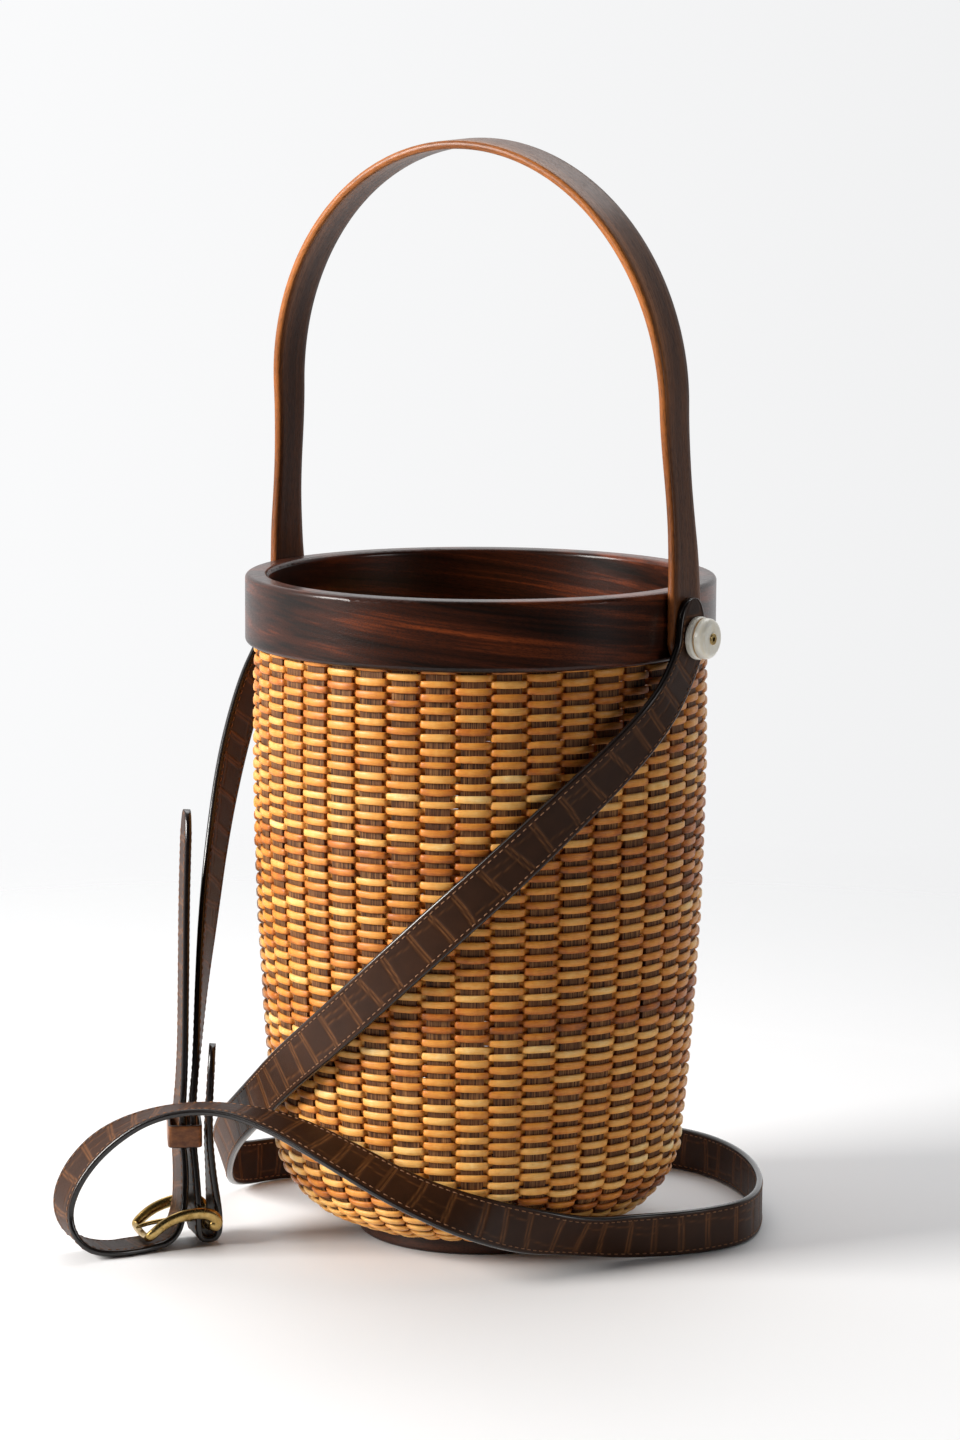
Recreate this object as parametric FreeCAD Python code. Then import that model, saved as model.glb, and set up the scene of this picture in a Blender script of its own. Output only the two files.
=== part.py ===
"""Woven bucket bag: turned wooden rim and base, staves and cane, a bail handle and a buckled leather strap.

Millimetres, +Z up. The origin is the centre of the base's underside, on the floor. The handle swings about
a line along X through the two pivot pins. One STEP file is written for each sub-part.
"""
import FreeCAD, Part
import math
import os

from FreeCAD import Vector, Placement, Rotation

UP = Vector(0, 0, 1)
ORIGIN = Vector(0, 0, 0)
RIGHT = Vector(1, 0, 0)

# How far a cutting shape runs past the surface it cuts
OVERCUT = 1.0

# Turned rim
RIM_OUTER_R = 97.5
RIM_INNER_R = 87.7
RIM_BOTTOM_Z = 248.9
RIM_TOP_Z = 277.4
RIM_EDGE_R = 2.0
STAVE_GROOVE_DEPTH = 7.5
GROOVE_PLAY = 0.2

# Turned base with its foot ring
BASE_R = 50.0
BASE_TOP_Z = 12.0
FOOT_RING_INNER_R = 41.0
FOOT_RECESS = 2.0
FOOT_CHAMFER = 2.0
KERF_DEPTH = 7.0
BASE_EDGE_R = 1.5
BASE_FIT_GAP = 0.1

# Basket side: the outside of the cane, seen in section
SIDE_ARC_CENTRE = (48.0, 45.0)
SIDE_ARC_R = 38.5
SIDE_START = (86.0, 42.0)
SIDE_TOP_R = 94.0
SIDE_BULGE = 3.3
SIDE_ARC_MIDDLE_ANGLE = -42.0

# Staves and cane
STAVE_COUNT = 41
STAVE_THICK = 2.0
STAVE_SHARE = 0.70
SLOT_SHARE = 0.71
CANE_THICK = 1.5
WEAVE_HALF = STAVE_THICK / 2 + CANE_THICK
STAVE_SLOT_PLAY = 0.05
STAVE_END_GAP = 0.3

# Pivot stack, from the rim outwards
PIVOT_Z = 258.6
HANDLE_INNER_X = 97.8
HANDLE_THICK = 3.5
TAB_CENTRE_X = 103.0
STRAP_THICK = 2.8
WASHER_INNER_X = 104.6
WASHER_THICK = 3.8
WASHER_R = 8.7
WASHER_EDGE_R = 1.4
KNOB_GAP = 0.2
KNOB_THICK = 4.2
KNOB_R = 8.3
KNOB_EDGE_R = 2.6
PIN_R = 1.65
PIN_BORE_R = 0.95
PIN_BORE_DEPTH = 7.0
PIN_HEAD_R = 2.3
PIN_HEAD_THICK = 0.6
PIN_HEAD_EDGE_R = 0.25
PIN_END_GAP = 0.05
INNER_WASHER_R = 4.0
INNER_WASHER_THICK = 0.8
INNER_WASHER_GAP = 0.15
EAR_HOLE_R = 1.72
SET_HOLE_R = 1.70

# Bail handle
HANDLE_LEAN = 2.5
EAR_R = 11.2
ARCH_HALF_WIDTH = 10.3
HANDLE_HALF_WIDTHS = [(11.2, 258.6), (10.2, 281.0), (8.0, 312.0), (9.7, 361.0)]
ARM_STRAIGHT_Z = 282.0
ARCH_SPRING_Z = 351.4
ARCH_HALF_SPAN = 96.0
ARCH_RISE = 102.6

# Straps
STRAP_WIDTH = 19.0
STRAP_TIP_LENGTH = 14.0
STRAP_TIP_SHARE = 0.18
STRAP_HOLE_R = 1.75
SPAN_STEPS = 5

# Route of each strap: control point, then the direction that its grain side faces there.
STRAP_LONG_ROUTE = [
    ((103, -1, 274.5), (1, 0, 0)),
    ((103, 0, 258.5), (1, 0, 0)),
    ((103, -6, 247), (1, 0, 0)),
    ((103.5, -22, 231), (1, 0, 0)),
    ((95, -41, 212), (1, -0.3, 0)),
    ((80, -59, 191), (0.8, -0.5, 0)),
    ((63, -75, 169), (0.7, -0.8, 0)),
    ((43, -88, 147), (0.4, -0.9, 0)),
    ((19, -96, 123), (0.2, -1, 0)),
    ((-6, -98, 100), (0.1, -1, 0)),
    ((-34, -90, 79), (-0.1, -1, 0)),
    ((-62, -75, 58), (-0.3, -1, 0)),
    ((-91, -55, 38), (-0.4, -0.9, -0.1)),
    ((-110, -35, 19), (-0.7, -0.6, -0.4)),
    ((-120, -11, 10), (-1, 0, -0.2)),
    ((-113, 13, 9.6), (-0.8, 0.5, 0)),
    ((-93, 38, 9.6), (-0.7, 0.7, 0)),
    ((-66, 69, 9.6), (-0.7, 0.8, 0)),
    ((-37, 99, 9.6), (-0.6, 0.8, 0)),
    ((-7, 124, 9.6), (-0.4, 0.9, 0)),
    ((27, 130, 9.6), (0, 1, 0)),
    ((62, 113, 9.6), (0.6, 0.8, 0)),
    ((93, 79, 9.6), (0.8, 0.6, 0)),
    ((110, 42, 9.6), (1, -0.1, 0)),
    ((102, 14, 9.6), (0.8, -0.6, 0)),
    ((84, -10, 10), (0.5, -0.9, -0.1)),
    ((74, -35, 14), (0.1, -1, -0.1)),
    ((64, -59, 20), (0.2, -0.9, 0.2)),
    ((51, -80, 28), (0.3, -0.8, 0.6)),
    ((30, -94, 38), (0.1, -0.5, 0.9)),
    ((1, -100, 51), (0, -0.3, 0.9)),
    ((-28, -101, 60), (-0.1, -0.1, 1)),
    ((-56, -105, 63.5), (0, 0.1, 1)),
    ((-80, -116, 60), (-0.2, -0.1, 1)),
    ((-98, -128, 49), (-0.3, -0.6, 0.8)),
    ((-108, -137, 34), (-0.5, -0.9, 0.2)),
    ((-112, -140, 18), (-0.5, -0.9, -0.1)),
    ((-105, -137, 5), (-0.4, -0.5, -0.8)),
    ((-97, -127, 1.5), (0, 0, -1)),
    ((-91, -112, 1.5), (0, 0, -1)),
    ((-85, -101.5, 3), (0.5, 0.6, -0.7)),
    ((-84, -96, 15), (0.6, 0.8, 0)),
    ((-86.5, -92, 30), (0.6, 0.8, 0)),
    ((-89.5, -90.5, 46), (0.7, 0.8, 0)),
    ((-89.5, -87, 72), (0.7, 0.7, 0)),
    ((-91.5, -83.5, 110), (0.7, 0.7, 0)),
    ((-94, -79.5, 150), (0.7, 0.7, 0)),
    ((-94.5, -77, 179), (0.7, 0.7, 0)),
]
STRAP_SHORT_ROUTE = [
    ((-103, 1, 274.5), (-1, 0, 0)),
    ((-103, 0, 258.5), (-1, 0, 0)),
    ((-103, -1.5, 248), (-1, 0, 0)),
    ((-105, -7.5, 237), (-1, 0, 0)),
    ((-107.5, -17, 222), (-1, 0, 0.1)),
    ((-105.5, -33, 194), (-1, 0, 0.1)),
    ((-99.5, -50, 164), (-1, -0.2, 0)),
    ((-93.5, -64, 134), (-1, -0.3, 0)),
    ((-89, -75, 104), (-0.9, -0.5, 0)),
    ((-86, -82, 76), (-0.8, -0.6, 0)),
    ((-85.5, -87, 48), (-0.8, -0.7, 0)),
    ((-82, -89.5, 26), (-0.7, -0.8, 0)),
    ((-80.5, -91, 13), (-0.6, -0.8, 0)),
    ((-80.5, -91, 2.5), (-0.4, -0.5, -0.7)),
    ((-75, -84.5, 2.5), (0.4, 0.5, -0.7)),
    ((-75, -84.5, 13), (0.6, 0.8, 0)),
    ((-77, -84, 27), (0.7, 0.7, 0)),
    ((-79, -83.5, 46), (0.8, 0.7, 0)),
    ((-79.5, -81, 66), (0.8, 0.6, 0)),
    ((-79.5, -79.5, 82), (0.8, 0.6, 0)),
]

# Buckle: the bar runs along BUCKLE_SIDE, the frame reaches along BUCKLE_REACH
BUCKLE_BAR = Vector(-77.8, -87.7, 7.5)
BUCKLE_YAW = -128.0
BAR_R = 1.5
CROSS_BAR_R = 1.6
RAIL_HALF_SPAN = 12.2
RAIL_WIDTH = 2.8
RAIL_THICK = 4.2
RAIL_STEPS = 16
RAIL_LINE = [(0, 0), (-3.2, 3.6), (1.2, 7.4), (10.5, 7.4), (19.5, 4.4), (27.0, -2.2)]
PRONG_R = 1.1
PRONG_EYE_R = 2.7
PRONG_EYE_HOLE_R = 1.55
PRONG_EYE_WIDTH = 3.0
PRONG_ROOT = Vector(2.1, 0, 0.6)
PRONG_MIDDLE = Vector(14.8, 0, 2.4)
PRONG_OVERHANG = 2.2
PRONG_REST_GAP = 0.2
STRAP_SLOT_WIDTH = 4.6
STRAP_SLOT_REACH = 16.0
STRAP_SLOT_Z = (-7.4, 7.1)
PRONG_HOLE_R = 1.6
PRONG_HOLE_REACH = (6.0, 16.0)
PRONG_HOLE_Z = (1.5, 4.6)

# Keeper loop round the tail and the short strap
KEEPER_CENTRE = Vector(-87.3, -88.8, 46.0)
KEEPER_YAW = 40.0
KEEPER_INSIDE = (11.4, 22.4)
KEEPER_THICK = 1.4
KEEPER_HEIGHT = 9.5
KEEPER_EDGE_R = 1.5


def side_points(offset, count=9):
    """Points up the basket's side in section, from the end of the bottom curve, moved inwards by offset."""
    points = []
    rise = RIM_BOTTOM_Z - SIDE_START[1]
    for i in range(count):
        t = i / (count - 1)
        radius = SIDE_START[0] + (SIDE_TOP_R - SIDE_START[0]) * t + 4 * t * (1 - t) * SIDE_BULGE
        points.append(Vector(radius - offset, 0, SIDE_START[1] + rise * t))
    return points


def side_curve(offset):
    """The basket's wall line in section at one depth: an arc out from the base, then the bulged side."""
    centre_r, centre_z = SIDE_ARC_CENTRE
    radius = SIDE_ARC_R - offset
    side = side_points(offset)
    start = Vector(centre_r, 0, centre_z - radius)
    middle_angle = math.radians(SIDE_ARC_MIDDLE_ANGLE)
    middle = Vector(centre_r + radius * math.cos(middle_angle), 0, centre_z + radius * math.sin(middle_angle))
    arc = Part.Arc(start, middle, side[0]).toShape()
    spline = Part.BSplineCurve()
    spline.interpolate(side)
    return [arc, spline.toShape()]


def wall_face(outer_offset, inner_offset, top_z, inner_start_r):
    """A closed band of the wall in section, between two depths, from inner_start_r out and up to top_z."""
    outer = side_curve(outer_offset)
    inner = side_curve(inner_offset)
    outer_low = Vector(inner_start_r, 0, SIDE_ARC_CENTRE[1] - SIDE_ARC_R + outer_offset)
    inner_low = Vector(inner_start_r, 0, SIDE_ARC_CENTRE[1] - SIDE_ARC_R + inner_offset)
    outer_end = outer[1].Vertexes[-1].Point
    inner_end = inner[1].Vertexes[-1].Point
    edges = list(outer)
    if inner_start_r < SIDE_ARC_CENTRE[0]:
        edges.append(Part.makeLine(outer_low, outer[0].Vertexes[0].Point))
        edges.append(Part.makeLine(inner_low, inner[0].Vertexes[0].Point))
    edges.append(Part.makeLine(outer_low, inner_low))
    if top_z > RIM_BOTTOM_Z:
        outer_top = Vector(outer_end.x, 0, top_z)
        inner_top = Vector(inner_end.x, 0, top_z)
        edges.append(Part.makeLine(outer_end, outer_top))
        edges.append(Part.makeLine(inner_end, inner_top))
        outer_end, inner_end = outer_top, inner_top
    edges.append(Part.makeLine(outer_end, inner_end))
    edges += inner
    wire = Part.Wire(Part.__sortEdges__(edges))
    return Part.Face(wire)


def turned(points):
    """A solid of revolution about Z from a closed outline of (radius, height) points."""
    corners = [Vector(r, 0, z) for r, z in points]
    return Part.Face(Part.makePolygon(corners + corners[:1])).revolve(ORIGIN, UP, 360)


def rounded_where(shape, radius, wanted):
    """Fillet the edges for which wanted(edge) is true."""
    edges = [edge for edge in shape.Edges if wanted(edge)]
    return shape.makeFillet(radius, edges)


def pivot_hole(radius):
    """A drill along the whole pivot line."""
    return Part.makeCylinder(radius, 3 * RIM_OUTER_R, Vector(-1.5 * RIM_OUTER_R, 0, PIVOT_Z), RIGHT)


def make_rim():
    hoop = turned([
        (RIM_INNER_R, RIM_BOTTOM_Z), (RIM_OUTER_R, RIM_BOTTOM_Z),
        (RIM_OUTER_R, RIM_TOP_Z), (RIM_INNER_R, RIM_TOP_Z),
    ])
    hoop = rounded_where(hoop, RIM_EDGE_R, lambda edge: isinstance(edge.Curve, Part.Circle))
    groove_r = SIDE_TOP_R - WEAVE_HALF
    half = STAVE_THICK / 2 + GROOVE_PLAY
    groove_top_z = RIM_BOTTOM_Z + STAVE_GROOVE_DEPTH
    groove = turned([
        (groove_r - half, RIM_BOTTOM_Z - OVERCUT), (groove_r + half, RIM_BOTTOM_Z - OVERCUT),
        (groove_r + half, groove_top_z), (groove_r - half, groove_top_z),
    ])
    return hoop.cut(groove).cut(pivot_hole(SET_HOLE_R))


def make_base():
    disc = turned([
        (0, FOOT_RECESS), (FOOT_RING_INNER_R, FOOT_RECESS), (FOOT_RING_INNER_R + FOOT_CHAMFER, 0),
        (BASE_R, 0), (BASE_R, BASE_TOP_Z), (0, BASE_TOP_Z),
    ])
    disc = rounded_where(disc, BASE_EDGE_R, lambda edge: isinstance(edge.Curve, Part.Circle)
                         and abs(edge.Curve.Radius - BASE_R) < 0.01)
    kerf_z = SIDE_ARC_CENTRE[1] - SIDE_ARC_R + WEAVE_HALF
    half = STAVE_THICK / 2 + STAVE_SLOT_PLAY
    kerf = turned([
        (BASE_R - KERF_DEPTH, kerf_z - half), (BASE_R + OVERCUT, kerf_z - half),
        (BASE_R + OVERCUT, kerf_z + half), (BASE_R - KERF_DEPTH, kerf_z + half),
    ])
    return disc.cut(kerf)


def stave_wedge(thick_play, share, top_z, start_r):
    """One stave as a thin wedge of the wall, centred on +X."""
    depth = STAVE_THICK / 2 + thick_play
    face = wall_face(WEAVE_HALF - depth, WEAVE_HALF + depth, top_z, start_r)
    angle = 360.0 / STAVE_COUNT * share
    wedge = face.revolve(ORIGIN, UP, angle)
    wedge.rotate(ORIGIN, UP, -angle / 2)
    return wedge


def around_all_staves(shape):
    """A copy of shape at every stave."""
    copies = []
    for i in range(STAVE_COUNT):
        copy = shape.copy()
        copy.rotate(ORIGIN, UP, 360.0 / STAVE_COUNT * (i + 0.5))
        copies.append(copy)
    return copies


def make_staves():
    top_z = RIM_BOTTOM_Z + STAVE_GROOVE_DEPTH - STAVE_END_GAP
    stave = stave_wedge(0, STAVE_SHARE, top_z, BASE_R - KERF_DEPTH + STAVE_END_GAP)
    return Part.makeCompound(around_all_staves(stave))


def make_weave():
    """The cane as one shell with a slot for every stave."""
    shell = wall_face(0, 2 * WEAVE_HALF, RIM_BOTTOM_Z, SIDE_ARC_CENTRE[0]).revolve(ORIGIN, UP, 360)
    base_room = Part.makeCylinder(BASE_R + BASE_FIT_GAP, 2 * BASE_TOP_Z, Vector(0, 0, -OVERCUT))
    slot = stave_wedge(STAVE_SLOT_PLAY, SLOT_SHARE, RIM_BOTTOM_Z + OVERCUT, BASE_R - KERF_DEPTH)
    return shell.cut(base_room).cut(Part.makeCompound(around_all_staves(slot)))


def handle_line(offset):
    """The bail's line in the XZ plane, from the right ear over the arch to the left, moved out by offset."""
    ear_x = HANDLE_INNER_X + HANDLE_THICK / 2 + offset
    arm = [Vector(ear_x, 0, z) for z in (PIVOT_Z - EAR_R - OVERCUT, PIVOT_Z, ARM_STRAIGHT_Z)]
    for t in (0.3, 0.5, 0.7):
        blend = t * t * (3 - 2 * t)
        x = ear_x + (ARCH_HALF_SPAN + offset - ear_x) * blend
        arm.append(Vector(x, 0, ARM_STRAIGHT_Z + (ARCH_SPRING_Z - ARM_STRAIGHT_Z) * t))
    arch = []
    for degrees in range(0, 91, 10):
        a = math.radians(degrees)
        x = ARCH_HALF_SPAN * math.cos(a)
        z = ARCH_RISE * math.sin(a)
        normal = Vector(math.cos(a) / ARCH_HALF_SPAN, 0, math.sin(a) / ARCH_RISE).normalize()
        arch.append(Vector(x, 0, ARCH_SPRING_Z + z) + normal * offset)
    right = arm + arch
    left = [Vector(-p.x, 0, p.z) for p in reversed(right[:-1])]
    curve = Part.BSplineCurve()
    curve.interpolate(right + left)
    return curve.toShape()


def handle_side_outline():
    """The bail seen along X: round ears, a narrow waist, a wider arch."""
    top = ARCH_SPRING_Z + ARCH_RISE + HANDLE_THICK
    side = Part.BSplineCurve()
    side.interpolate(
        [Vector(0, half_width, z) for half_width, z in HANDLE_HALF_WIDTHS + [(ARCH_HALF_WIDTH, top)]],
        InitialTangent=UP, FinalTangent=UP,
    )
    right = side.toShape()
    left = right.mirror(ORIGIN, Vector(0, 1, 0))
    ear_points = [Vector(0, EAR_R, PIVOT_Z), Vector(0, 0, PIVOT_Z - EAR_R), Vector(0, -EAR_R, PIVOT_Z)]
    ear = Part.Arc(*ear_points).toShape()
    cap = Part.makeLine(Vector(0, ARCH_HALF_WIDTH, top), Vector(0, -ARCH_HALF_WIDTH, top))
    return Part.Face(Part.Wire(Part.__sortEdges__([right, cap, left, ear])))


def make_handle():
    outer = handle_line(HANDLE_THICK / 2)
    inner = handle_line(-HANDLE_THICK / 2)
    ends = [
        Part.makeLine(outer.Vertexes[i].Point, inner.Vertexes[i].Point)
        for i in (0, -1)
    ]
    band = Part.Face(Part.Wire(Part.__sortEdges__([outer, ends[0], inner, ends[1]])))
    width = 4 * EAR_R
    bent = band.extrude(Vector(0, width, 0))
    bent.translate(Vector(0, -width / 2, 0))
    side = handle_side_outline().extrude(Vector(3 * RIM_OUTER_R, 0, 0))
    side.translate(Vector(-1.5 * RIM_OUTER_R, 0, 0))
    bail = bent.common(side).cut(pivot_hole(EAR_HOLE_R))
    bail.rotate(Vector(0, 0, PIVOT_Z), RIGHT, HANDLE_LEAN)
    return bail


def on_right(shape):
    return shape


def on_left(shape):
    """The same piece turned half round, at the left pivot."""
    copy = shape.copy()
    copy.rotate(ORIGIN, UP, 180)
    return copy


def pivot_disc(x, radius, thickness):
    return Part.makeCylinder(radius, thickness, Vector(x, 0, PIVOT_Z), RIGHT)


def make_ivory_washer():
    disc = pivot_disc(WASHER_INNER_X, WASHER_R, WASHER_THICK)
    disc = disc.makeFillet(WASHER_EDGE_R, disc.Edges)
    return disc.cut(pivot_hole(SET_HOLE_R))


def make_ivory_knob():
    start = WASHER_INNER_X + WASHER_THICK + KNOB_GAP
    disc = pivot_disc(start, KNOB_R, KNOB_THICK)
    outer = [edge for edge in disc.Edges if abs(edge.CenterOfMass.x - start - KNOB_THICK) < 0.01]
    disc = disc.makeFillet(KNOB_EDGE_R, outer)
    return disc.cut(pivot_hole(SET_HOLE_R))


def make_inner_washer():
    inner_x = RIM_INNER_R - INNER_WASHER_GAP - INNER_WASHER_THICK
    return pivot_disc(inner_x, INNER_WASHER_R, INNER_WASHER_THICK).cut(pivot_hole(SET_HOLE_R))


def make_pivot_pin():
    """Tubular rivet: a rolled head over the knob, a closed head over the inner washer."""
    inner_x = RIM_INNER_R - INNER_WASHER_GAP - INNER_WASHER_THICK - PIN_END_GAP
    outer_x = WASHER_INNER_X + WASHER_THICK + KNOB_GAP + KNOB_THICK + PIN_END_GAP
    shank = pivot_disc(inner_x, PIN_R, outer_x - inner_x)
    inner_head = pivot_disc(inner_x - PIN_HEAD_THICK, PIN_HEAD_R, PIN_HEAD_THICK)
    outer_head = pivot_disc(outer_x, PIN_HEAD_R, PIN_HEAD_THICK)
    outer_head = outer_head.makeFillet(PIN_HEAD_EDGE_R, outer_head.Edges)
    bore = pivot_disc(outer_x - PIN_BORE_DEPTH, PIN_BORE_R, PIN_BORE_DEPTH + PIN_HEAD_THICK + OVERCUT)
    return shank.fuse([inner_head, outer_head]).removeSplitter().cut(bore)


def quadratic_spline(points):
    """A clamped quadratic B-spline with these control points and evenly spaced knots."""
    spans = len(points) - 2
    multiplicities = [3] + [1] * (spans - 1) + [3]
    knots = [float(i) for i in range(spans + 1)]
    curve = Part.BSplineCurve()
    curve.buildFromPolesMultsKnots(points, multiplicities, knots, False, 2)
    return curve


def strap_width(distance, length):
    """Full width along the strap, drawn in to a rounded point at both ends."""
    from_end = min(distance, length - distance)
    t = min(1.0, from_end / STRAP_TIP_LENGTH)
    return STRAP_WIDTH * (STRAP_TIP_SHARE + (1 - STRAP_TIP_SHARE) * math.sqrt(1 - (1 - t) ** 2))


def strap_sections(route):
    """Rectangular sections square to the route, with their long sides square to the facing direction."""
    path = quadratic_spline([Vector(*point) for point, _ in route])
    facing = quadratic_spline([Vector(*direction) for _, direction in route])
    spans = len(route) - 2
    steps = spans * SPAN_STEPS
    centres = [path.value(spans * i / steps) for i in range(steps + 1)]
    distances = [0.0]
    for before, after in zip(centres, centres[1:]):
        distances.append(distances[-1] + before.distanceToPoint(after))
    sections = []
    for i, centre in enumerate(centres):
        along = path.tangent(spans * i / steps)[0]
        across = along.cross(facing.value(spans * i / steps)).normalize()
        outward = across.cross(along).normalize()
        half_width = across * (strap_width(distances[i], distances[-1]) / 2)
        half_thick = outward * (STRAP_THICK / 2)
        corners = [
            centre - half_width - half_thick, centre + half_width - half_thick,
            centre + half_width + half_thick, centre - half_width + half_thick,
        ]
        sections.append(Part.makePolygon(corners + corners[:1]))
    sharpest = max(path.curvature(spans * i / steps) for i in range(steps + 1))
    return sections, distances[-1], 1 / sharpest


def make_strap(route, name):
    sections, length, bend_radius = strap_sections(route)
    strap = Part.makeLoft(sections, True, True)
    share = strap.Volume / (length * STRAP_WIDTH * STRAP_THICK)
    print(name, "length mm", round(length, 1), "smallest bend radius mm", round(bend_radius, 1))
    print(name, "volume over section times length", round(share, 3))
    return strap.cut(pivot_hole(STRAP_HOLE_R))


def buckle_placement():
    """Local x reaches from the bar to the cross bar, local y runs along the bar."""
    return Placement(BUCKLE_BAR, Rotation(UP, BUCKLE_YAW))


def placed(shape, placement):
    copy = shape.copy()
    copy.Placement = placement.multiply(copy.Placement)
    return copy


def rod_y(x, z, radius, length):
    """A rod along local y, centred on y = 0."""
    return Part.makeCylinder(radius, length, Vector(x, -length / 2, z), Vector(0, 1, 0))


def rail_outline():
    """The side of the buckle frame seen along the bar: a band of even thickness along RAIL_LINE."""
    line = Part.BSplineCurve()
    line.interpolate([Vector(x, 0, z) for x, z in RAIL_LINE])
    first, last = line.FirstParameter, line.LastParameter
    upper, lower = [], []
    for i in range(RAIL_STEPS + 1):
        at = first + (last - first) * i / RAIL_STEPS
        along = line.tangent(at)[0]
        normal = Vector(-along.z, 0, along.x) * (RAIL_THICK / 2)
        upper.append(line.value(at) + normal)
        lower.append(line.value(at) - normal)
    sides = []
    for points in (upper, lower):
        curve = Part.BSplineCurve()
        curve.interpolate(points)
        sides.append(curve.toShape())
    caps = [Part.makeLine(upper[0], lower[0]), Part.makeLine(upper[-1], lower[-1])]
    return Part.Face(Part.Wire(Part.__sortEdges__(sides + caps)))


def make_buckle_frame():
    outline = rail_outline()
    pieces = []
    for side in (-1, 1):
        rail = outline.extrude(Vector(0, RAIL_WIDTH, 0))
        rail.translate(Vector(0, side * RAIL_HALF_SPAN - RAIL_WIDTH / 2, 0))
        pieces.append(rail)
    span = 2 * RAIL_HALF_SPAN
    pieces.append(rod_y(0, 0, BAR_R, span + RAIL_WIDTH))
    end_x, end_z = RAIL_LINE[-1]
    pieces.append(rod_y(end_x, end_z, CROSS_BAR_R, span + RAIL_WIDTH))
    frame = pieces[0].fuse(pieces[1:]).removeSplitter()
    return placed(frame, buckle_placement())


def make_buckle_prong():
    end_x, end_z = RAIL_LINE[-1]
    tip = Vector(end_x + PRONG_OVERHANG, 0, end_z + CROSS_BAR_R + PRONG_R + PRONG_REST_GAP)
    eye = rod_y(0, 0, PRONG_EYE_R, PRONG_EYE_WIDTH)
    pieces = [eye]
    for start, end in ((PRONG_ROOT, PRONG_MIDDLE), (PRONG_MIDDLE, tip)):
        pieces.append(Part.makeCylinder(PRONG_R, start.distanceToPoint(end), start, end - start))
    pieces.append(Part.makeSphere(PRONG_R, PRONG_MIDDLE))
    pieces.append(Part.makeSphere(PRONG_R, tip))
    hole = rod_y(0, 0, PRONG_EYE_HOLE_R, PRONG_EYE_WIDTH + OVERCUT)
    prong = pieces[0].fuse(pieces[1:]).removeSplitter().cut(hole)
    return placed(prong, buckle_placement())


def short_strap_slot():
    """The slot in the fold of the short strap that the prong's eye works in."""
    low, high = STRAP_SLOT_Z
    corner = Vector(-STRAP_SLOT_REACH / 2, -STRAP_SLOT_WIDTH / 2, low)
    slot = Part.makeBox(STRAP_SLOT_REACH, STRAP_SLOT_WIDTH, high - low, corner)
    return placed(slot, buckle_placement())


def long_strap_hole():
    """The tall hole in the long strap that the prong passes through."""
    start, end = PRONG_HOLE_REACH
    low, high = PRONG_HOLE_Z
    rounds = [Part.makeCylinder(PRONG_HOLE_R, end - start, Vector(start, 0, z), RIGHT) for z in (low, high)]
    between = Part.makeBox(end - start, 2 * PRONG_HOLE_R, high - low, Vector(start, -PRONG_HOLE_R, low))
    return placed(between.fuse(rounds), buckle_placement())


def centred_box(x, y, z):
    return Part.makeBox(x, y, z, Vector(-x / 2, -y / 2, -z / 2))


def make_keeper():
    inside_x, inside_y = KEEPER_INSIDE
    band = centred_box(inside_x + 2 * KEEPER_THICK, inside_y + 2 * KEEPER_THICK, KEEPER_HEIGHT)
    band = rounded_where(band, KEEPER_EDGE_R, lambda edge: abs(edge.BoundBox.ZLength - KEEPER_HEIGHT) < 0.01)
    room = centred_box(inside_x, inside_y, KEEPER_HEIGHT + 2 * OVERCUT)
    return placed(band.cut(room), Placement(KEEPER_CENTRE, Rotation(UP, KEEPER_YAW)))


def build_nodes():
    nodes = {
        "rim": make_rim(),
        "foot_base": make_base(),
        "staves": make_staves(),
        "weave": make_weave(),
        "handle": make_handle(),
        "strap_long": make_strap(STRAP_LONG_ROUTE, "strap_long").cut(long_strap_hole()),
        "strap_short": make_strap(STRAP_SHORT_ROUTE, "strap_short").cut(short_strap_slot()),
        "strap_keeper": make_keeper(),
        "buckle_frame": make_buckle_frame(),
        "buckle_prong": make_buckle_prong(),
    }
    for side, turn in (("right", on_right), ("left", on_left)):
        nodes[side + "_ivory_washer"] = turn(make_ivory_washer())
        nodes[side + "_ivory_knob"] = turn(make_ivory_knob())
        nodes[side + "_inner_washer"] = turn(make_inner_washer())
        nodes[side + "_pivot_pin"] = turn(make_pivot_pin())
    return nodes


def main():
    os.makedirs("parts", exist_ok=True)
    for name, shape in build_nodes().items():
        shape.exportStep("parts/" + name + ".step")
        print(name, "solids", len(shape.Solids), "valid", shape.isValid(), "volume mm3", round(shape.Volume))


main()
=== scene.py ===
"""The looks of a woven bucket bag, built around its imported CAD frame. Metres, in the frame's own axes."""

import math
import random

import bpy
import numpy as np
from mathutils import Matrix, Vector


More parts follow.
